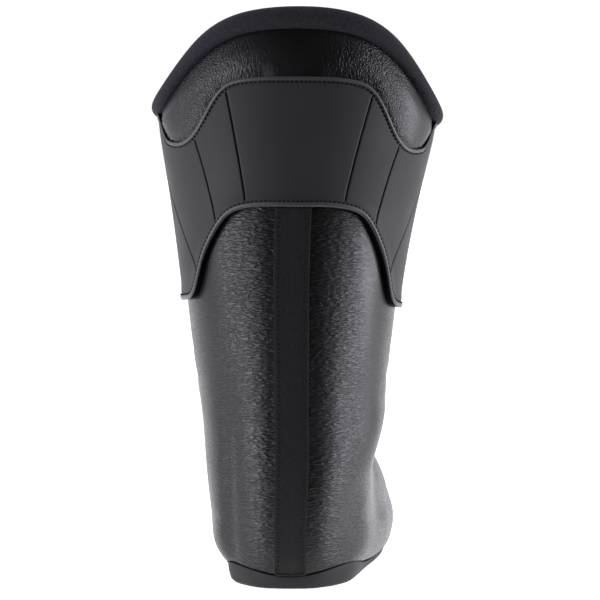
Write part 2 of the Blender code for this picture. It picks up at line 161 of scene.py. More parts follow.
# Studio: cool light aimed at the shaft, a floor that starts a little behind the heel, and the camera's place.
# The tilt follows from the horizon's height over the picture's middle and from the lens, both in pixels
STUDIO_TINT = (0.92, 0.91, 1.0)
STUDIO_AIM = (0, 0.03, 0.16)
FLOOR_SIZE = 24
FLOOR_FRONT = -0.12
FLOOR_HEIGHT = -0.0005
CAMERA_PLACE = (0.0051, -1.536, 0.231)
HORIZON_PIXELS = 146.4
LENS_PIXELS = 2852

# Brightness of the surround, from behind the camera (0) to straight ahead of it (1)
SURROUND_STOPS = ((0.0, 0.004), (0.13, 0.008), (0.30, 0.07), (0.5, 0.62), (1.0, 0.9))

# Side lights: place in metres, share of the power, then width and height in metres
SOFTBOXES = {
    #         place                 share width height
    "inner": ((-1.08, -0.52, 0.26), 0.5, 1.0, 0.6),
    "outer": ((1.18, -0.10, 0.26), 0.48, 1.0, 0.6),
}


def length_property(name, description, millimetres):
    """A size that a user may change, with its default in millimetres."""
    return bpy.props.FloatProperty(
        name=name, description=description, default=millimetres * MM, unit="LENGTH"
    )


def colour_property(name, description, colour):
    """A colour that a user may change."""
    return bpy.props.FloatVectorProperty(name=name, description=description, default=colour, subtype="COLOR")


class LinerSizes(bpy.types.PropertyGroup):
    """Sizes of what is sewn, pressed and grained on the liner."""

    lip_width: length_property("Lip width", "Width of the raised lip along the cuff panel's edge", 1.9)
    lip_height: length_property("Lip height", "How far the lip stands over the panel", 0.7)
    channel_inset: length_property("Channel inset", "Stitch channel's distance from the panel's edge", 2.8)
    channel_depth: length_property("Channel depth", "Depth of the stitch channel", 0.3)
    channel_width: length_property("Channel width", "Width of the stitch channel", 1.4)
    edge_lift: length_property("Edge lift", "How far the panel's edge stands off the leather", 0.9)
    groove_width: length_property("Groove width", "Width of a pressed groove", 1.1)
    groove_depth: length_property("Groove depth", "Depth of a pressed groove", 0.6)
    stitch_length: length_property("Stitch length", "Length of thread that shows", 1.55)
    stitch_pitch: length_property("Stitch pitch", "Distance from stitch to stitch", 2.5)
    thread_width: length_property("Thread width", "Thickness of the thread", 0.85)
    tape_inset: length_property("Tape inset", "From the tape's edge to its stitches", 1.9)
    tuck: length_property("Tuck", "How far leather and panel run in under the collar roll", 3.0)
    band_crown: length_property("Band crown", "How far the padded band over the cuff swells", 2.4)
    roll_swell: length_property("Roll swell", "How far the collar roll swells", 0.8)
    side_swell: length_property("Side swell", "How far the foot's sides swell over the sole", 2.0)
    tape_thinning: length_property("Tape thinning", "How much thinner the tape ends", 1.1)
    tape_press: length_property("Tape press", "How deep the tape's edges draw the leather in", 0.12)
    grain: length_property("Grain", "Size of the leather's grain", 0.86)
    grain_depth: length_property("Grain depth", "Depth of the leather's grain", 0.235)
    tread_pitch: length_property("Tread pitch", "Distance between the ribs under the sole", 7.0)
    tread_depth: length_property("Tread depth", "Depth between the ribs under the sole", 0.7)


class LinerColours(bpy.types.PropertyGroup):
    """Colours of the liner's finishes."""

    leather: colour_property("Leather", "Grained leather", (0.0055, 0.0055, 0.0057))
    cuff: colour_property("Cuff skin", "Smooth skin of the cuff panel", (0.028, 0.028, 0.0282))
    knit: colour_property("Knit", "Knit of the collar roll", (0.0245, 0.024, 0.0275))
    tape: colour_property("Tape", "Woven tape over the back seam", (0.013, 0.013, 0.0131))
    sole: colour_property("Sole", "Skin of the sole", (0.012, 0.012, 0.0125))
    lining: colour_property("Lining", "Brushed lining", (0.016, 0.016, 0.018))
    footbed: colour_property("Footbed", "Felt of the footbed", (0.045, 0.045, 0.047))
    thread: colour_property("Thread", "Sewing thread", (0.0012, 0.0012, 0.0012))


class LinerStudio(bpy.types.PropertyGroup):
    """Light and view."""

    softbox: bpy.props.FloatProperty(
        name="Softboxes", description="Power that the side lights share", default=32.0, unit="POWER"
    )
    surround: bpy.props.FloatProperty(
        name="Surround", description="Strength of the light from all round", default=1.0
    )
    focal: bpy.props.FloatProperty(
        name="Focal length", description="Lens, in millimetres", default=171.1, unit="CAMERA"
    )


def alone(obj):
    """Makes an object the only one selected."""
    bpy.ops.object.select_all(action="DESELECT")
    obj.select_set(True)
    bpy.context.view_layer.objects.active = obj


def coordinates(mesh):
    """The mesh's points as rows."""
    rows = np.empty(len(mesh.vertices) * 3)
    mesh.vertices.foreach_get("co", rows)
    return rows.reshape(-1, 3)


def vertex_normals(mesh):
    """The outward direction at each point, as rows."""
    rows = np.empty(len(mesh.vertices) * 3)
    mesh.vertex_normals.foreach_get("vector", rows)
    return rows.reshape(-1, 3)


def push(obj, offsets):
    """Moves each point of a mesh along its normal, by an offset in metres."""
    mesh = obj.data
    moved = coordinates(mesh) + vertex_normals(mesh) * offsets[:, None]
    mesh.vertices.foreach_set("co", moved.ravel())
    mesh.update()


def slide_up(obj, offsets):
    """Moves each point of a mesh up along the shaft's axis, by an offset in metres."""
    upwards = MIDDLE_LINE[0] - MIDDLE_LINE[1]
    moved = coordinates(obj.data) + offsets[:, None] * upwards / np.linalg.norm(upwards)
    obj.data.vertices.foreach_set("co", moved.ravel())
    obj.data.update()


def keep(mesh, name, values):
    """Keeps a value with each point, for a finish to read."""
    mesh.attributes.new(name, "FLOAT", "POINT").data.foreach_set("value", values)


def smooth_step(low, high, values):
    """0 below low, 1 above high and smooth between."""
    t = np.clip((values - low) / (high - low), 0, 1)
    return t * t * (3 - 2 * t)


def hump(values, width):
    """1 where a value is 0, falling smoothly to 0 at half the width on either side."""
    return 1 - smooth_step(0.0, width / 2, np.abs(values))


def outward(points):
    """Directions from the middle of the hollow to points."""
    best = np.full(len(points), np.inf)
    away = np.zeros_like(points)
    for start, end in zip(MIDDLE_LINE, MIDDLE_LINE[1:]):
        along = end - start
        share = np.clip((points - start) @ along / (along @ along), 0, 1)
        gap = points - (start + share[:, None] * along)
        distance = np.linalg.norm(gap, axis=1)
        nearer = distance < best
        best[nearer] = distance[nearer]
        away[nearer] = gap[nearer]
    return away / np.maximum(np.linalg.norm(away, axis=1), 1e-9)[:, None]


def axis_points(heights):
    """Points of the shaft's axis at heights over the floor."""
    top, foot = MIDDLE_LINE[0], MIDDLE_LINE[1]
    share = (np.asarray(heights) - foot[2]) / (top[2] - foot[2])
    return foot + share[..., None] * (top - foot)


def turns_of(points):
    """Turns of points round the shaft's axis, in radians."""
    away = points - axis_points(points[:, 2])
    return np.arctan2(away[:, 0], -away[:, 1])


def dressed_copy(node, name, shown_from):
    """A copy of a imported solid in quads. Faces that point outwards past a share are SHOWN, others REST."""
    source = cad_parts[node]
    mesh = source.data.copy()
    mesh.name = name
    mesh.materials.clear()
    obj = bpy.data.objects.new(name, mesh)
    bpy.context.scene.collection.objects.link(obj)
    alone(obj)
    bpy.ops.mesh.customdata_custom_splitnormals_clear()
    bpy.ops.object.mode_set(mode="EDIT")
    bpy.ops.mesh.select_all(action="SELECT")
    bpy.ops.mesh.remove_doubles(threshold=0.01 * MM)
    bpy.ops.mesh.select_mode(type="EDGE")
    bpy.ops.mesh.select_all(action="DESELECT")
    bpy.ops.mesh.edges_select_sharp(sharpness=SHARP_TURN)
    bpy.ops.mesh.mark_sharp()
    bpy.ops.mesh.select_all(action="SELECT")
    bpy.ops.mesh.tris_convert_to_quads(
        face_threshold=math.pi, shape_threshold=math.pi, topology_influence=2.0, sharp=True
    )
    bpy.ops.mesh.mark_sharp(clear=True)
    bpy.ops.object.mode_set(mode="OBJECT")
    centres = np.array([polygon.center for polygon in mesh.polygons])
    facing = np.array([polygon.normal for polygon in mesh.polygons])
    share = np.einsum("ij,ij->i", facing, outward(centres))
    mesh.polygons.foreach_set("material_index", np.where(share > shown_from, SHOWN, REST))
    return obj


def crease_edges(obj, sharper_than, amount, steepest=1.0):
    """Holds edges that are sharper than an angle, and no steeper than a share, when the mesh is smoothed."""
    alone(obj)
    bpy.ops.object.mode_set(mode="EDIT")
    bpy.ops.mesh.select_mode(type="EDGE")
    bpy.ops.mesh.select_all(action="DESELECT")
    bpy.ops.mesh.edges_select_sharp(sharpness=sharper_than)
    bm = bmesh.from_edit_mesh(obj.data)
    for edge in bm.edges:
        along = edge.verts[1].co - edge.verts[0].co
        if abs(along.z) > steepest * along.length:
            edge.select_set(False)
    bm.select_flush_mode()
    bmesh.update_edit_mesh(obj.data)
    bpy.ops.transform.edge_crease(value=amount)
    bpy.ops.object.mode_set(mode="OBJECT")


def smoothed(obj, levels):
    """Smooths a mesh with an applied subdivision surface."""
    alone(obj)
    modifier = obj.modifiers.new("smooth", "SUBSURF")
    modifier.levels = levels
    modifier.render_levels = levels
    bpy.ops.object.modifier_apply(modifier=modifier.name)
    bpy.ops.object.shade_smooth()


def select_faces(obj, chosen):
    """Selects faces by a mask and leaves the object in edit mode."""
    alone(obj)
    bpy.ops.object.mode_set(mode="EDIT")
    bpy.ops.mesh.select_mode(type="FACE")
    bpy.ops.mesh.select_all(action="DESELECT")
    bpy.ops.object.mode_set(mode="OBJECT")
    obj.data.polygons.foreach_set("select", chosen)
    bpy.ops.object.mode_set(mode="EDIT")


def material_indices(mesh):
    """The material index of each face."""
    rows = np.empty(len(mesh.polygons), int)
    mesh.polygons.foreach_get("material_index", rows)
    return rows


def refine_shown(obj, cuts):
    """Divides the shown faces further, for fine relief."""
    select_faces(obj, material_indices(obj.data) == SHOWN)
    bpy.ops.mesh.subdivide(number_cuts=cuts)
    bpy.ops.object.mode_set(mode="OBJECT")


def border_loops(mesh):
    """Loops of points between the shown faces and the rest, each with the shown side on its left."""
    bm = bmesh.new()
    bm.from_mesh(mesh)
    onward = {}
    for edge in bm.edges:
        if len({face.material_index for face in edge.link_faces}) == 2:
            for loop in edge.link_loops:
                if loop.face.material_index == SHOWN:
                    onward[loop.vert.index] = loop.link_loop_next.vert.index
    bm.free()
    loops = []
    while onward:
        start, here = onward.popitem()
        chain = [start]
        while here != start and here in onward:
            chain.append(here)
            here = onward.pop(here)
        loops.append(chain)
    return sorted(loops, key=len, reverse=True)


def distances_to(points, line):
    """Distance of each point from the nearest point of a line."""
    tree = KDTree(len(line))
    for i, place in enumerate(line):
        tree.insert(place, i)
    tree.balance()
    return np.array([tree.find(point)[2] for point in points])


def surface_of(obj):
    """A tree for rays and nearest points on a mesh."""
    mesh = obj.data
    return BVHTree.FromPolygons(
        [vertex.co for vertex in mesh.vertices], [polygon.vertices for polygon in mesh.polygons]
    )


def line_on_shaft(surface, start, end, steps):
    """Points on a surface along a line between two (turn, height) places, by rays from the shaft's axis."""
    points = []
    for share in np.linspace(0, 1, steps):
        turn = math.radians(start[0] + (end[0] - start[0]) * share)
        height = (start[1] + (end[1] - start[1]) * share) * MM
        away = Vector((math.sin(turn), -math.cos(turn), 0))
        place = surface.ray_cast(Vector(axis_points(height)) + away, -away)[0]
        if place is not None:
            points.append(place)
    return np.array(points)


def evenly(points, pitch):
    """Points at even distances along an open line, with the directions there."""
    steps = np.linalg.norm(np.diff(points, axis=0), axis=1)
    travelled = np.concatenate([[0], np.cumsum(steps)])
    count = max(int(travelled[-1] / pitch), 1)
    at = (np.arange(count) + 0.5) * travelled[-1] / count

    def placed(along):
        """Points at distances along the line."""
        return np.stack([np.interp(along, travelled, points[:, i]) for i in range(3)], axis=1)

    return placed(at), placed(at + pitch / 4) - placed(at - pitch / 4)


def rounded_line(points, turns):
    """A closed line, smoothed by averaging neighbours a number of times."""
    for _ in range(turns):
        points = (np.roll(points, 1, axis=0) + 2 * points + np.roll(points, -1, axis=0)) / 4
    return points


def inset_line(points, inset):
    """A closed line moved sideways into the surface that lies on its left."""
    along = np.roll(points, -2, axis=0) - np.roll(points, 2, axis=0)
    inwards = np.cross(outward(points), along)
    inwards /= np.maximum(np.linalg.norm(inwards, axis=1), 1e-9)[:, None]
    return points + inwards * inset


def stitch_shape(sizes):
    """Points and faces of one stitch: a short thread along X whose ends dive into the cloth."""
    bpy.ops.object.select_all(action="DESELECT")
    bpy.ops.mesh.primitive_uv_sphere_add(segments=6, ring_count=6, radius=0.5)
    sphere = bpy.context.object
    sphere.rotation_euler = (0, math.pi / 2, 0)
    sphere.scale = (sizes.thread_width, sizes.thread_width, sizes.stitch_length)
    bpy.ops.object.transform_apply(location=False, rotation=True, scale=True)
    points = coordinates(sphere.data)
    points[:, 2] -= sizes.thread_width * (points[:, 0] / sizes.stitch_length * 2) ** 2 / 2
    faces = [tuple(polygon.vertices) for polygon in sphere.data.polygons]
    mesh = sphere.data
    bpy.data.objects.remove(sphere)
    bpy.data.meshes.remove(mesh)
    return points, faces


def sew(name, lines, surface, sizes):
    """One object of stitches along open lines on a surface."""
    shape, faces = stitch_shape(sizes)
    points, polygons = [], []
    for line in lines:
        for place, along in zip(*evenly(line, sizes.stitch_pitch)):
            on, normal = surface.find_nearest(Vector(place))[:2]
            tangent = Vector(along) - normal * normal.dot(Vector(along))
            tangent.normalize()
            side = normal.cross(tangent)
            turned = shape @ np.array([tangent, side, normal])
            first = len(points) * len(shape)
            points.append(turned + np.array(on + normal * sizes.thread_width * STITCH_LIFT))
            polygons.extend(tuple(first + i for i in face) for face in faces)
    mesh = bpy.data.meshes.new(name)
    mesh.from_pydata(np.concatenate(points), [], polygons)
    obj = bpy.data.objects.new(name, mesh)
    bpy.context.scene.collection.objects.link(obj)
    mesh.shade_smooth()
    return obj


def add_node(tree, kind, inputs=None, **settings):
    """Adds a node with its settings. An input is a value or another node's output."""
    node = tree.nodes.new(kind)
    for name, value in settings.items():
        setattr(node, name, value)
    for key, value in (inputs or {}).items():
        if isinstance(value, bpy.types.NodeSocket):
            tree.links.new(value, node.inputs[key])
        else:
            node.inputs[key].default_value = value
    return node


def maths(tree, operation, first, second=0.0):
    """The output of a sum on two values or outputs."""
    return add_node(tree, "ShaderNodeMath", {0: first, 1: second}, operation=operation).outputs[0]


def ranged(tree, value, low, high, to_low, to_high, kind="SMOOTHSTEP"):
    """A value brought from one range to another, smoothly unless stated."""
    inputs = {"Value": value, "From Min": low, "From Max": high, "To Min": to_low, "To Max": to_high}
    return add_node(tree, "ShaderNodeMapRange", inputs, interpolation_type=kind).outputs[0]


def noise(tree, place, scale, detail=2.0):
    """Soft noise, with a number of waves to the metre."""
    inputs = {"Vector": place, "Scale": scale, "Detail": detail}
    return add_node(tree, "ShaderNodeTexNoise", inputs).outputs["Fac"]


def overlaid(tree, share, under, over):
    """A colour laid over another colour or a node's output, by a share."""
    inputs = {"Factor": share, "A": under, "B": over}
    return add_node(tree, "ShaderNodeMix", inputs, data_type="RGBA").outputs["Result"]


def shade(colour, share):
    """A colour made darker or lighter, and opaque."""
    return (*(min(value * share, 1) for value in colour), 1)


def coloured(tree, shader, share, colour, darkest, lightest):
    """Gives a finish shades of a colour, from the darkest to the lightest by a share."""
    mixed = overlaid(tree, share, shade(colour, darkest), shade(colour, lightest))
    tree.links.new(mixed, shader.inputs["Base Color"])


def roughened(tree, shader, grain, least, most):
    """Gives a finish a roughness that follows a noise."""
    tree.links.new(ranged(tree, grain, NOISE_LOW, NOISE_HIGH, least, most), shader.inputs["Roughness"])


def new_finish(name, **values):
    """A material, its nodes, its shader with values for its inputs, and its place on the piece."""
    material = bpy.data.materials.new(name)
    material.use_nodes = True
    tree = material.node_tree
    shader = tree.nodes["Principled BSDF"]
    for key, value in values.items():
        shader.inputs[FINISH_INPUTS[key]].default_value = value
    place = add_node(tree, "ShaderNodeTexCoord").outputs["Object"]
    return material, tree, shader, place


def relief(tree, shader, height, depth, strength=1.0):
    """Lets a height from 0 to 1 stand out by a depth in metres."""
    bump = add_node(tree, "ShaderNodeBump", {"Height": height, "Distance": depth, "Strength": strength})
    tree.links.new(bump.outputs["Normal"], shader.inputs["Normal"])


def blend(tree, share, first, second):
    """A value between two, by a share."""
    inputs = {"Factor": share, "A": first, "B": second}
    return add_node(tree, "ShaderNodeMix", inputs, data_type="FLOAT").outputs["Result"]


def ripples(tree, place, size, stretch):
    """Soft wavy wrinkles of a size, stretched along X and Y, and Z."""
    scale = (1 / (size * stretch[0]), 1 / (size * stretch[0]), 1 / (size * stretch[1]))
    stretched = add_node(tree, "ShaderNodeMapping", {"Vector": place, "Scale": scale}).outputs[0]
    inputs = {"Vector": stretched, "Scale": 1.0, "Detail": 0.5, "Roughness": 0.5, "Distortion": 0.4}
    waves = add_node(tree, "ShaderNodeTexNoise", inputs).outputs["Fac"]
    return ranged(tree, waves, 0.28, 0.72, 0.0, 1.0)


def leather_finish(sizes, colours):
    """Glossy leather with a drawn-out grain: flat wrinkles on the shaft, upright ones on the padded band."""
    material, tree, shader, place = new_finish("grained_leather", specular=0.33)
    split = add_node(tree, "ShaderNodeSeparateXYZ", {0: place})
    aside = maths(tree, "ABSOLUTE", split.outputs["X"])

    def across(zone, nearer, further):
        """A value that changes over a zone, from nearer the middle to further out."""
        start, end = GRAIN_ZONES[zone]
        return ranged(tree, aside, start * MM, end * MM, nearer, further)

    on_band = maths(tree, "GREATER_THAN", split.outputs["Z"], CUFF_MIDDLE)
    flat = ripples(tree, place, sizes.grain, (4.3, 0.95))
    upright = ripples(tree, place, sizes.grain, (1.0, 3.0))
    pebbled = ripples(tree, place, sizes.grain, (1.05, 1.05))
    wrinkles = blend(tree, on_band, flat, blend(tree, across("band_pebbled", 0.0, 1.0), upright, pebbled))
    band_depth = maths(tree, "MULTIPLY", across("band_risen", 0.12, 1.0), across("band_tight", 1.0, 0.1))
    depth = blend(tree, on_band, across("shaft_tight", 1.0, 0.12), band_depth)
    fine = noise(tree, place, 2600.0, 2.0)
    broad = noise(tree, place, 60.0, 2.0)
    pores = maths(tree, "MULTIPLY", fine, 0.05)
    raised = maths(tree, "ADD", maths(tree, "MULTIPLY", wrinkles, depth), pores)
    relief(tree, shader, raised, sizes.grain_depth, 1.0)
    worn = ranged(tree, broad, NOISE_LOW, NOISE_HIGH, 0.0, 0.05)
    gloss = ranged(tree, wrinkles, 0.0, 1.0, 0.41, 0.33)
    rough = maths(tree, "MULTIPLY", maths(tree, "ADD", gloss, worn), across("shaft_sleek", 1.0, 0.9))
    tree.links.new(rough, shader.inputs["Roughness"])
    # Painted shade and highlight: the colour darkens in the wrinkles' hollows and lightens on their crests.
    coloured(tree, shader, wrinkles, colours.leather, 0.5, 1.2)
    return material


def lining_finish(colours):
    """Brushed lining cloth."""
    material, tree, shader, place = new_finish("brushed_lining", sheen=0.25, sheen_roughness=0.5)
    nap = noise(tree, place, 1500.0, 4.0)
    patches = noise(tree, place, 90.0, 2.0)
    relief(tree, shader, nap, 0.35 * MM, 0.8)
    coloured(tree, shader, patches, colours.lining, 0.8, 1.25)
    roughened(tree, shader, nap, 0.9, 1.0)
    return material


def kept(tree, name):
    """A value kept with the points of the piece."""
    return add_node(tree, "ShaderNodeAttribute", attribute_name=name).outputs["Fac"]


def cuff_finish(sizes, colours):
    """Smooth, matt moulded skin with a very fine tooth, with painted shade in its stitch channel and grooves
    and a painted highlight on its lip.
    """
    material, tree, shader, place = new_finish("moulded_cuff", sheen=0.1, sheen_roughness=0.45)
    edge, groove = kept(tree, "edge_gap"), maths(tree, "ABSOLUTE", kept(tree, "groove_gap"))
    off_channel = maths(tree, "ABSOLUTE", maths(tree, "SUBTRACT", edge, sizes.channel_inset))
    channel = ranged(tree, off_channel, sizes.channel_width * 0.32, sizes.channel_width * 0.5, 1.0, 0.0)
    inside = ranged(tree, edge, sizes.channel_inset, sizes.channel_inset + sizes.channel_width, 0.0, 1.0)
    line = ranged(tree, groove, sizes.groove_width * 0.22, sizes.groove_width * 0.5, 1.0, 0.0)
    lip = ranged(tree, edge, sizes.lip_width * 0.75, sizes.lip_width, 1.0, 0.0)
    grooves = maths(tree, "MULTIPLY", line, inside)
    # Mask of the pressed channel and grooves: it sinks the relief, dulls the gloss, and paints shade into the
    # colour.
    pressed = maths(tree, "MAXIMUM", maths(tree, "MULTIPLY", channel, 0.06), grooves)
    tooth = noise(tree, place, 3800.0, 2.0)
    cloud = noise(tree, place, 38.0, 3.0)
    raised = maths(tree, "SUBTRACT", maths(tree, "MULTIPLY", tooth, 0.08), pressed)
    relief(tree, shader, raised, sizes.channel_depth, 0.8)
    plain = overlaid(tree, cloud, shade(colours.cuff, 0.9), shade(colours.cuff, 1.12))
    # Painted highlight: the colour is lightened along the lip.
    lip_painted_highlight = overlaid(tree, lip, plain, shade(colours.cuff, 1.7))
    # Painted shade: the colour darkens in the stitch channel and grooves.
    tree.links.new(overlaid(tree, pressed, lip_painted_highlight, shade(colours.cuff, 0.12)), shader.inputs["Base Color"])
    clouded = ranged(tree, cloud, NOISE_LOW, NOISE_HIGH, 0.54, 0.62)
    matt = maths(tree, "SUBTRACT", clouded, maths(tree, "MULTIPLY", lip, 0.16))
    rough = maths(tree, "ADD", matt, maths(tree, "MULTIPLY", pressed, 0.25))
    tree.links.new(rough, shader.inputs["Roughness"])
    shine = maths(tree, "ADD", 0.16, maths(tree, "MULTIPLY", lip, 0.3))
    dulled = maths(tree, "SUBTRACT", 1.0, maths(tree, "MULTIPLY", pressed, 0.85))
    tree.links.new(maths(tree, "MULTIPLY", shine, dulled), shader.inputs["Specular IOR Level"])
    return material


def cut_edge_finish(colours):
    """Dull, dark cut edge and back of the cuff skin."""
    material, tree, shader, place = new_finish("cut_edge", specular=0.06)
    pores = noise(tree, place, 1800.0, 3.0)
    relief(tree, shader, pores, 0.12 * MM, 0.5)
    coloured(tree, shader, pores, colours.cuff, 0.15, 0.4)
    roughened(tree, shader, pores, 0.75, 0.9)
    return material


def tape_finish(colours):
    """Woven tape in a herringbone twill, mirrored about its middle."""
    material, tree, shader, place = new_finish("twill_tape", specular=0.12, sheen=0.03)
    split = add_node(tree, "ShaderNodeSeparateXYZ", {0: place})
    across = maths(tree, "ABSOLUTE", maths(tree, "SUBTRACT", split.outputs["X"], TWILL_MIDDLE))
    slanted = maths(tree, "ADD", split.outputs["Z"], maths(tree, "MULTIPLY", across, TWILL_SLANT))
    ribs = maths(tree, "SINE", maths(tree, "MULTIPLY", slanted, 2 * math.pi / TWILL_PITCH))
    yarns = maths(tree, "SINE", maths(tree, "MULTIPLY", across, 2 * math.pi / YARN_PITCH))
    weave = maths(tree, "ADD", maths(tree, "MULTIPLY", ribs, 0.5), maths(tree, "MULTIPLY", yarns, 0.25))
    fuzz = noise(tree, place, 2400.0, 3.0)
    relief(tree, shader, maths(tree, "ADD", weave, fuzz), 0.16 * MM, 0.7)
    # Painted highlight on the twill's raised ribs and yarns, and painted shade between them.
    lit = ranged(tree, weave, -0.7, 0.7, 0.0, 1.0)
    coloured(tree, shader, lit, colours.tape, 0.25, 2.2)
    roughened(tree, shader, fuzz, 0.78, 0.92)
    return material


def knit_finish(colours):
    """Soft, dull knit with fine loops."""
    bluish = (0.55, 0.57, 0.75, 1)
    material, tree, shader, place = new_finish(
        "dull_knit", specular=0.1, sheen=0.1, sheen_roughness=0.45, sheen_tint=bluish
    )
    knots = add_node(tree, "ShaderNodeTexVoronoi", {"Vector": place, "Scale": 1150.0}, feature="F1")
    loops = knots.outputs["Distance"]
    fuzz = noise(tree, place, 700.0, 4.0)
    raised = maths(tree, "SUBTRACT", fuzz, maths(tree, "MULTIPLY", loops, 0.7))
    relief(tree, shader, raised, 0.35 * MM, 0.7)
    coloured(tree, shader, fuzz, colours.knit, 0.35, 1.8)
    roughened(tree, shader, fuzz, 0.86, 1.0)
    return material


def sole_finish(colours):
    """Matt rubbery skin, a little clouded."""
    material, tree, shader, place = new_finish("moulded_sole", specular=0.25)
    cloud = noise(tree, place, 70.0, 3.0)
    tooth = noise(tree, place, 2200.0, 3.0)
    relief(tree, shader, tooth, 0.10 * MM, 0.6)
    coloured(tree, shader, cloud, colours.sole, 0.85, 1.15)
    roughened(tree, shader, cloud, 0.56, 0.68)
    return material


def felt_finish(colours):
    """Pressed felt."""
    material, tree, shader, place = new_finish("pressed_felt")
    fibres = noise(tree, place, 900.0, 5.0)
    relief(tree, shader, fibres, 0.4 * MM, 0.8)
    coloured(tree, shader, fibres, colours.footbed, 0.6, 1.4)
    roughened(tree, shader, fibres, 0.9, 1.0)
    return material


def thread_finish(name, colour):
    """Waxed sewing thread."""
    material, tree, shader, place = new_finish(name, specular=0.06)
    twist = noise(tree, place, 3000.0, 1.0)
    relief(tree, shader, twist, 0.1 * MM, 0.6)
    coloured(tree, shader, twist, colour, 0.7, 1.6)
    roughened(tree, shader, twist, 0.7, 0.85)
    return material


def finish_of(name, make, *groups):
    """A finish by name, made on its first use."""
    return bpy.data.materials.get(name) or make(*groups)


def settle(obj, slot, *nodes):
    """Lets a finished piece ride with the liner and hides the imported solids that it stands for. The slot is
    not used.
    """
    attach(obj, "root")
    if nodes:
        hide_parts(*nodes)


class LINER_OT_cuff_panel(bpy.types.Operator):
    """Moulded panel round the back and sides of the cuff, with its lip, stitch channel and pressed grooves"""

    bl_idname = "liner.cuff_panel"
    bl_label = "Cuff panel"

    def execute(self, context):
        sizes, colours = context.scene.liner_sizes, context.scene.liner_colours
        panel = dressed_copy("cuff_panel", "cuff_panel_skin", 0.6)
        crease_edges(panel, EDGE_TURN, 1.0)
        smoothed(panel, 2)
        refine_shown(panel, 3)
        mesh = panel.data
        points = coordinates(mesh)
        edge = distances_to(points, points[border_loops(mesh)[0]])
        groove = self.groove_gaps(points)
        inside = smooth_step(sizes.channel_inset, sizes.channel_inset + sizes.channel_width, edge)
        rise = sizes.lip_height * hump(edge - sizes.lip_width * 0.45, sizes.lip_width * SOFT_EDGES)
        lifted = (1 - smooth_step(0.0, 10 * MM, edge)) * (points[:, 2] < CUFF_MIDDLE)
        rise += sizes.edge_lift * lifted
        rise -= sizes.channel_depth * hump(edge - sizes.channel_inset, sizes.channel_width)
        rise -= sizes.groove_depth * hump(groove, sizes.groove_width * SOFT_EDGES) * inside
        surface = surface_of(panel)
        for top, foot in CUFF_TICKS.values():
            gap = distances_to(points, line_on_shaft(surface, top, foot, 40))
            rise -= sizes.groove_depth * hump(gap, sizes.groove_width * SOFT_EDGES) * inside
        push(panel, np.where(self.shown_points(mesh), rise, 0.0))
        tuck = (1 - smooth_step(0.0, 9 * MM, edge)) * (points[:, 2] > CUFF_MIDDLE)
        tuck *= smooth_step(*np.radians(WING_TURNS), np.abs(turns_of(points)))
        slide_up(panel, sizes.tuck * tuck)
        keep(mesh, "edge_gap", edge)
        keep(mesh, "groove_gap", groove)
        mesh.materials.append(finish_of("moulded_cuff", cuff_finish, sizes, colours))
        mesh.materials.append(finish_of("cut_edge", cut_edge_finish, colours))
        settle(panel, "cuff_skin", "cuff_panel")
        return {"FINISHED"}

    def shown_points(self, mesh):
        """Which points lie on shown faces."""
        shown = np.zeros(len(mesh.vertices), bool)
        for polygon in mesh.polygons:
            if polygon.material_index == SHOWN:
                shown[list(polygon.vertices)] = True
        return shown

    def groove_turns(self, heights, top, foot):
        """Turns of a groove at heights, straight from behind, or on the skin where it runs round the side."""
        share = (heights / MM - foot[1]) / (top[1] - foot[1])
        if abs(top[0]) > 90:
            return np.radians(foot[0] + (top[0] - foot[0]) * share)
        foot_side, top_side = math.sin(math.radians(foot[0])), math.sin(math.radians(top[0]))
        return np.arcsin(np.clip(foot_side + (top_side - foot_side) * share, -0.999, 0.999))

    def groove_gaps(self, points):
        """Distance of points from the nearest groove, with a sign that changes over each groove in turn."""
        heights = points[:, 2]
        away = points - axis_points(heights)
        radius, turn = np.hypot(away[:, 0], away[:, 1]), turns_of(points)
        gaps = []
        for top, foot in sorted(CUFF_GROOVES.values()):
            line = self.groove_turns(heights, top, foot)
            slope = (self.groove_turns(heights + MM, top, foot) - line) / MM
            gaps.append((turn - line) * radius / np.sqrt(1 + (slope * radius) ** 2))
        passed = np.sum(np.array(gaps) > 0, axis=0)
        return np.where(passed % 2, -1.0, 1.0) * np.min(np.abs(gaps), axis=0)


class LINER_OT_collar_roll(bpy.types.Operator):
    """Padded knit roll along the collar"""

    bl_idname = "liner.collar_roll"
    bl_label = "Collar roll"

    def execute(self, context):
        roll = dressed_copy("collar_binding", "collar_roll", ALL_SHOWN)
        smoothed(roll, 3)
        push(roll, np.full(len(roll.data.vertices), context.scene.liner_sizes.roll_swell))
        roll.data.materials.append(finish_of("dull_knit", knit_finish, context.scene.liner_colours))
        settle(roll, "collar_knit", "collar_binding")
        return {"FINISHED"}


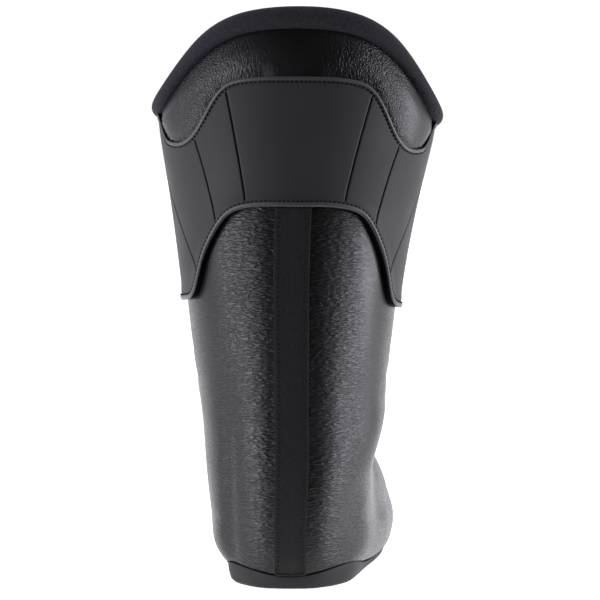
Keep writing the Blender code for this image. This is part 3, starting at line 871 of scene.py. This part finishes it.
class LINER_OT_upper(bpy.types.Operator):
    """Padded leather wall of shaft and foot, with its lining"""

    bl_idname = "liner.upper"
    bl_label = "Upper"

    def execute(self, context):
        sizes, colours = context.scene.liner_sizes, context.scene.liner_colours
        upper = dressed_copy("upper", "liner_upper", -0.5)
        crease_edges(upper, EDGE_TURN, 0.75)
        smoothed(upper, 2)
        mesh = upper.data
        points = coordinates(mesh)
        outside = np.einsum("ij,ij->i", vertex_normals(mesh), outward(points)) > 0.3
        rise = self.band_swell(points, sizes)
        rise -= self.tape_dent(points, sizes)
        rise -= self.ankle_folds(points)
        rise -= self.heel_valleys(points)
        rise += self.side_swell(points, sizes)
        push(upper, np.where(outside, rise, 0.0))
        slide_up(upper, sizes.tuck * (1 - smooth_step(0.0, 5 * MM, self.under_roll(points))))
        mesh.materials.append(finish_of("grained_leather", leather_finish, sizes, colours))
        mesh.materials.append(finish_of("brushed_lining", lining_finish, colours))
        settle(upper, "liner_leather", "upper")
        return {"FINISHED"}

    def band_swell(self, points, sizes):
        """Crown of the padded band between the panel's top and the collar roll."""
        panel = bpy.data.objects["cuff_panel_skin"].data
        border = coordinates(panel)[border_loops(panel)[0]]
        border = border[border[:, 2] > CUFF_MIDDLE]
        above = points[:, 2] > self.panel_top(border, turns_of(points))
        over_panel = distances_to(points, border) * np.where(above, 1.0, -1.0)
        from_panel = smooth_step(-6 * MM, 5 * MM, over_panel)
        from_roll = smooth_step(1 * MM, 10 * MM, self.under_roll(points))
        return sizes.band_crown * from_panel * from_roll

    def under_roll(self, points):
        """Distance of points from the collar roll."""
        return distances_to(points, coordinates(bpy.data.objects["collar_roll"].data))

    def panel_top(self, border, turns):
        """Height of the panel's upper edge at turns."""
        at = turns_of(border)
        grid = np.radians(np.arange(-PANEL_TURN, PANEL_TURN + 1))
        near = math.radians(1.2)
        tops = [border[np.abs(at - turn) < near, 2].max(initial=0.0) for turn in grid]
        return np.interp(turns, grid, tops)

    def tape_dent(self, points, sizes):
        """How far the tape's seams draw the leather in."""
        low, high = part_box("back_strip")
        middle = (low.x + high.x) / 2
        half = (high.x - low.x) / 2
        behind = (points[:, 1] < axis_points(points[:, 2])[:, 1]) & (points[:, 2] < high.z)
        past_edge = np.abs(points[:, 0] - middle) - half
        return sizes.tape_press * hump(past_edge - 1 * MM, 7 * MM) * behind

    def side_swell(self, points, sizes):
        """How far the sides of the foot swell out over the sole."""
        aside = smooth_step(24 * MM, 38 * MM, np.abs(points[:, 0]))
        middle, span = 20 * MM, 32 * MM
        return sizes.side_swell * hump(points[:, 2] - middle, span) * aside

    def heel_valleys(self, points):
        """Depth of the soft valleys along the stiffened heel."""
        away = points - axis_points(points[:, 2])
        radius, turn = np.hypot(away[:, 0], away[:, 1]), turns_of(points)
        depth = np.zeros(len(points))
        for at, foot, top, deep, width in HEEL_VALLEYS.values():
            span = smooth_step(foot * MM * 0.6, foot * MM * 1.4, points[:, 2])
            span *= 1 - smooth_step(top * MM * 0.6, top * MM, points[:, 2])
            depth += deep * MM * hump((turn - math.radians(at)) * radius, width * MM) * span
        return depth

    def ankle_folds(self, points):
        """Depth of the flex creases over the ankle."""
        depth = np.zeros(len(points))
        for height, run, deep, width in ANKLE_CREASES.values():
            front = smooth_step(CREASE_START - run * MM, CREASE_FRONT, points[:, 1])
            line = height * MM + CREASE_CLIMB * (points[:, 1] - CREASE_FRONT)
            depth += deep * MM * hump(points[:, 2] - line, 2 * width * MM) * front
        return depth


class LINER_OT_tongue(bpy.types.Operator):
    """Padded tongue behind the throat"""

    bl_idname = "liner.tongue"
    bl_label = "Tongue"

    def execute(self, context):
        sizes, colours = context.scene.liner_sizes, context.scene.liner_colours
        tongue = dressed_copy("tongue", "liner_tongue", -0.5)
        crease_edges(tongue, EDGE_TURN, 0.35)
        smoothed(tongue, 2)
        mesh = tongue.data
        mesh.materials.append(finish_of("grained_leather", leather_finish, sizes, colours))
        mesh.materials.append(finish_of("brushed_lining", lining_finish, colours))
        settle(tongue, "liner_leather", "tongue")
        return {"FINISHED"}


class LINER_OT_back_tape(bpy.types.Operator):
    """Woven tape over the back seam"""

    bl_idname = "liner.back_tape"
    bl_label = "Back tape"

    def execute(self, context):
        tape = dressed_copy("back_strip", "back_tape", 0.6)
        crease_edges(tape, EDGE_TURN, 0.8)
        smoothed(tape, 2)
        points = coordinates(tape.data)
        outside = np.einsum("ij,ij->i", vertex_normals(tape.data), outward(points)) > 0.0
        thinned = 1 - smooth_step(0.0, 9 * MM, points[:, 2] - points[:, 2].min())
        push(tape, -context.scene.liner_sizes.tape_thinning * thinned * outside)
        tape.data.materials.append(finish_of("twill_tape", tape_finish, context.scene.liner_colours))
        tape.data.polygons.foreach_set("material_index", np.zeros(len(tape.data.polygons), int))
        settle(tape, "woven_tape", "back_strip")
        return {"FINISHED"}


class LINER_OT_sole(bpy.types.Operator):
    """Moulded sole with shallow ribs underneath"""

    bl_idname = "liner.sole"
    bl_label = "Sole"

    def execute(self, context):
        sizes, colours = context.scene.liner_sizes, context.scene.liner_colours
        sole = dressed_copy("sole", "liner_sole", ALL_SHOWN)
        crease_edges(sole, math.radians(22), 0.9, 0.4)
        smoothed(sole, 3)
        mesh = sole.data
        points = coordinates(mesh)
        underneath = smooth_step(0.9, 0.99, -vertex_normals(mesh)[:, 2])
        valleys = hump((points[:, 1] / sizes.tread_pitch) % 1.0 - 0.5, TREAD_VALLEY)
        push(sole, -sizes.tread_depth * valleys * underneath)
        mesh.materials.append(finish_of("moulded_sole", sole_finish, colours))
        settle(sole, "sole_skin", "sole")
        return {"FINISHED"}


class LINER_OT_footbed(bpy.types.Operator):
    """Felt footbed on the floor of the sole"""

    bl_idname = "liner.footbed"
    bl_label = "Footbed"

    def execute(self, context):
        footbed = dressed_copy("insole", "footbed", ALL_SHOWN)
        crease_edges(footbed, math.radians(60), 0.7)
        smoothed(footbed, 2)
        footbed.data.materials.append(finish_of("pressed_felt", felt_finish, context.scene.liner_colours))
        settle(footbed, "footbed_felt", "insole")
        return {"FINISHED"}


class LINER_OT_stitching(bpy.types.Operator):
    """Rows of stitches on the cuff panel and the tape"""

    bl_idname = "liner.stitching"
    bl_label = "Stitching"

    def execute(self, context):
        sizes, colours = context.scene.liner_sizes, context.scene.liner_colours
        threads = (thread_finish("cuff_thread", colours.thread), thread_finish("tape_thread", colours.tape))
        for thread, (name, lines, surface) in zip(threads, (self.cuff_rows(sizes), self.tape_rows(sizes))):
            row = sew(name, lines, surface, sizes)
            row.data.materials.append(thread)
            settle(row, "woven_tape")
        return {"FINISHED"}

    def cuff_rows(self, sizes):
        """The row in the cuff panel's stitch channel."""
        panel = bpy.data.objects["cuff_panel_skin"]
        border = coordinates(panel.data)[border_loops(panel.data)[0]]
        line = inset_line(rounded_line(border, 12), sizes.channel_inset)
        return "cuff_stitches", [np.vstack([line, line[:1]])], surface_of(panel)

    def tape_rows(self, sizes):
        """A row along each edge of the tape."""
        tape = bpy.data.objects["back_tape"]
        low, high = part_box("back_strip")
        surface = surface_of(tape)
        points = coordinates(tape.data)
        lines = []
        heights = np.linspace(low.z + 3 * MM, high.z - 2 * MM, 90)
        behind, ahead = -0.2, Vector((0, 1, 0))
        for side in (-1, 1):
            line = []
            for height in heights:
                near = points[np.abs(points[:, 2] - height) < 6 * MM]
                edge = near[:, 0].max() if side > 0 else near[:, 0].min()
                start = Vector((edge - side * sizes.tape_inset, behind, height))
                place = surface.ray_cast(start, ahead)[0]
                if place is not None:
                    line.append(place)
            lines.append(np.array(line))
        return "tape_stitches", lines, surface


class LINER_OT_stage(bpy.types.Operator):
    """Pale floor, soft studio light and the camera"""

    bl_idname = "liner.stage"
    bl_label = "Stage"

    def execute(self, context):
        studio = context.scene.liner_studio
        context.scene.view_settings.view_transform = "Standard"
        self.floor()
        self.surround(context.scene, studio)
        self.softboxes(studio)
        self.camera(context.scene, studio)
        return {"FINISHED"}

    def floor(self):
        """A wide pale floor under and behind the liner."""
        bpy.ops.object.select_all(action="DESELECT")
        middle = (0, FLOOR_FRONT + FLOOR_SIZE / 2, FLOOR_HEIGHT)
        bpy.ops.mesh.primitive_plane_add(size=FLOOR_SIZE, location=middle)
        floor = bpy.context.object
        floor.name = "studio_floor"
        material = bpy.data.materials.new("pale_floor")
        material.use_nodes = True
        shader = material.node_tree.nodes["Principled BSDF"]
        shader.inputs["Base Color"].default_value = (0.86, 0.86, 0.86, 1)
        shader.inputs["Roughness"].default_value = 0.9
        shader.inputs["Emission Color"].default_value = (1, 1, 1, 1)
        shader.inputs["Emission Strength"].default_value = 0.95
        floor.data.materials.append(material)

    def surround(self, scene, studio):
        """Light from all round, dark where the camera stands, and a white backdrop."""
        world = bpy.data.worlds.new("studio")
        scene.world = world
        world.use_nodes = True
        tree = world.node_tree
        direction = add_node(tree, "ShaderNodeTexCoord").outputs["Generated"]
        split = add_node(tree, "ShaderNodeSeparateXYZ", {0: direction})
        ahead = ranged(tree, split.outputs["Y"], -1.0, 1.0, 0.0, 1.0, "LINEAR")
        ramp = add_node(tree, "ShaderNodeValToRGB", {"Fac": ahead})
        elements = ramp.color_ramp.elements
        while len(elements) < len(SURROUND_STOPS):
            elements.new(0.5)
        for element, (position, value) in zip(elements, SURROUND_STOPS):
            element.position = position
            element.color = shade(STUDIO_TINT, value)
        soft = tree.nodes["Background"]
        tree.links.new(ramp.outputs["Color"], soft.inputs["Color"])
        aside = maths(tree, "ABSOLUTE", split.outputs["X"])
        from_sides = ranged(tree, aside, 0.15, 0.65, 0.06, 1.0)
        from_ahead = ranged(tree, split.outputs["Y"], 0.1, 0.5, 0.0, 1.0)
        flags = maths(tree, "MAXIMUM", from_sides, from_ahead)
        lift = ranged(tree, split.outputs["Z"], 0.05, 0.4, 1.0, 1.7)
        strength = maths(tree, "MULTIPLY", maths(tree, "MULTIPLY", flags, lift), studio.surround)
        tree.links.new(strength, soft.inputs["Strength"])
        white = add_node(tree, "ShaderNodeBackground", {"Color": (1, 1, 1, 1), "Strength": 1.05})
        seen = add_node(tree, "ShaderNodeLightPath").outputs["Is Camera Ray"]
        mixed = add_node(tree, "ShaderNodeMixShader", {0: seen, 1: soft.outputs[0], 2: white.outputs[0]})
        tree.links.new(mixed.outputs[0], tree.nodes["World Output"].inputs["Surface"])

    def softboxes(self, studio):
        """A softbox on each side, a little towards the camera."""
        for place, share, width, height in SOFTBOXES.values():
            light = bpy.data.lights.new("softbox", "AREA")
            light.shape = "RECTANGLE"
            light.size = width
            light.size_y = height
            light.color = STUDIO_TINT
            light.energy = studio.softbox * share
            lamp = bpy.data.objects.new("softbox", light)
            lamp.location = place
            aim = Vector(STUDIO_AIM) - lamp.location
            lamp.rotation_euler = aim.to_track_quat("-Z", "Y").to_euler()
            bpy.context.scene.collection.objects.link(lamp)

    def camera(self, scene, studio):
        """The view from straight behind the heel."""
        lens = bpy.data.cameras.new("camera")
        lens.lens = studio.focal
        lens.sensor_width = 36
        camera = bpy.data.objects.new("camera", lens)
        camera.location = CAMERA_PLACE
        camera.rotation_euler = (math.pi / 2 - math.atan2(HORIZON_PIXELS, LENS_PIXELS), 0, 0)
        scene.collection.objects.link(camera)
        scene.camera = camera


OPERATORS = (
    LINER_OT_stage,
    LINER_OT_cuff_panel,
    LINER_OT_collar_roll,
    LINER_OT_upper,
    LINER_OT_tongue,
    LINER_OT_back_tape,
    LINER_OT_sole,
    LINER_OT_footbed,
    LINER_OT_stitching,
)


class LINER_PT_pieces(bpy.types.Panel):
    """Lists the liner's pieces"""

    bl_label = "Ski boot liner"
    bl_space_type = "VIEW_3D"
    bl_region_type = "UI"
    bl_category = "Liner"

    def draw(self, context):
        for operator in OPERATORS:
            self.layout.operator(operator.bl_idname)


GROUPS = {"liner_sizes": LinerSizes, "liner_colours": LinerColours, "liner_studio": LinerStudio}


def register():
    for group in GROUPS.values():
        bpy.utils.register_class(group)
    for name, group in GROUPS.items():
        setattr(bpy.types.Scene, name, bpy.props.PointerProperty(type=group))
    for operator in OPERATORS:
        bpy.utils.register_class(operator)
    bpy.utils.register_class(LINER_PT_pieces)


def unregister():
    bpy.utils.unregister_class(LINER_PT_pieces)
    for operator in reversed(OPERATORS):
        bpy.utils.unregister_class(operator)
    for name, group in GROUPS.items():
        delattr(bpy.types.Scene, name)
        bpy.utils.unregister_class(group)


def main():
    register()
    for operator in OPERATORS:
        group, name = operator.bl_idname.split(".")
        getattr(getattr(bpy.ops, group), name)()


if __name__ == "__main__":
    main()
